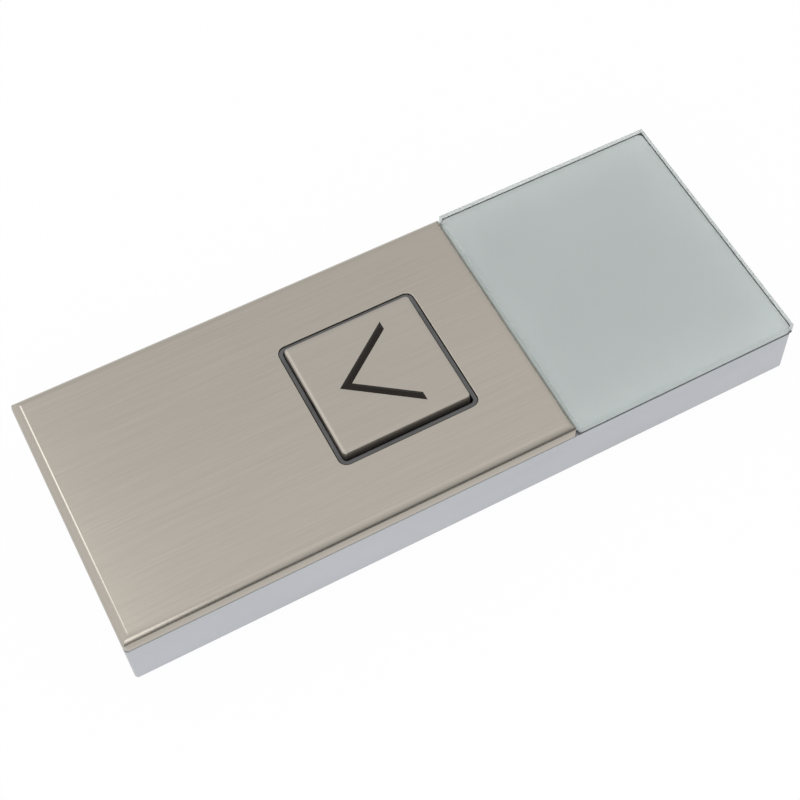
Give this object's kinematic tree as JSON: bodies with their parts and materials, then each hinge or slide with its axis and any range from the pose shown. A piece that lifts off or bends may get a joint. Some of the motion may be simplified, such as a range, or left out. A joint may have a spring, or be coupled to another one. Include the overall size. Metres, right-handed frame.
{
  "type": "elevator call button panel",
  "caption": "Surface-mounted landing call panel: silver base, brushed steel cover, glass upper part and a sprung square steel button with a raised down chevron.",
  "frame": {"origin": "centre of the back face that lies on the wall", "axes": "+Z out of the wall, +Y up the wall toward the glass end, +X along the width"},
  "size_m": [0.072, 0.18, 0.0214],
  "materials": {
    "base_housing": "satin silver paint on a moulding",
    "front_frame": "fine matt moulding",
    "steel_cover": "stainless, brushed along the length",
    "cover_tape": "foam tape",
    "glass_panel": "clear float glass with ground edges",
    "glass_print": "pale grey-green back print",
    "glass_tape": "foam tape",
    "light_ring": "smoky translucent",
    "button_housing": "fine matt moulding",
    "housing_screws": "zinc plated",
    "return_springs": "spring wire",
    "circuit_board": "green solder mask",
    "board_screws": "zinc plated",
    "switch_body": "moulded",
    "indicator_lights": "moulded",
    "field_connector": "moulded",
    "connector_pins": "tinned brass",
    "control_chip": "moulded",
    "capacitors": "drawn cans",
    "sounder": "moulded",
    "button_cap": "stainless, brushed along the length",
    "chevron_lens": "dark smoked, satin",
    "button_carrier": "moulded",
    "switch_plunger": "moulded"
  },
  "bodies": {
    "panel": {"base_housing": "base_housing", "front_frame": "front_frame", "steel_cover": "steel_cover", "cover_tape": "cover_tape", "glass_panel": "glass_panel", "glass_print": "glass_print", "glass_tape": "glass_tape", "light_ring": "light_ring", "button_housing": "button_housing", "housing_screws": "housing_screws", "return_springs": "return_springs", "circuit_board": "circuit_board", "board_screws": "board_screws", "switch_body": "switch_body", "indicator_lights": "indicator_lights", "field_connector": "field_connector", "connector_pins": "connector_pins", "control_chip": "control_chip", "capacitors": "capacitors", "sounder": "sounder"},
    "call_button": {"button_cap": "button_cap", "chevron_lens": "chevron_lens", "button_carrier": "button_carrier"},
    "switch_plunger_body": {"switch_plunger": "switch_plunger"}
  },
  "joints": [
    {"name": "button_press", "type": "slide", "parent": "panel", "child": "call_button", "axis": [0, 0, -1], "range_m": [0, 0.0012], "stiffness_N_per_m": 1800, "springref_m": -0.0004, "deforming": ["return_springs"]},
    {"name": "plunger_press", "type": "slide", "parent": "panel", "child": "switch_plunger_body", "axis": [0, 0, -1], "range_m": [0, 0.0012]}
  ],
  "couplings": [
    {"joint": "plunger_press", "follows": "button_press", "ratio": 1}
  ]
}
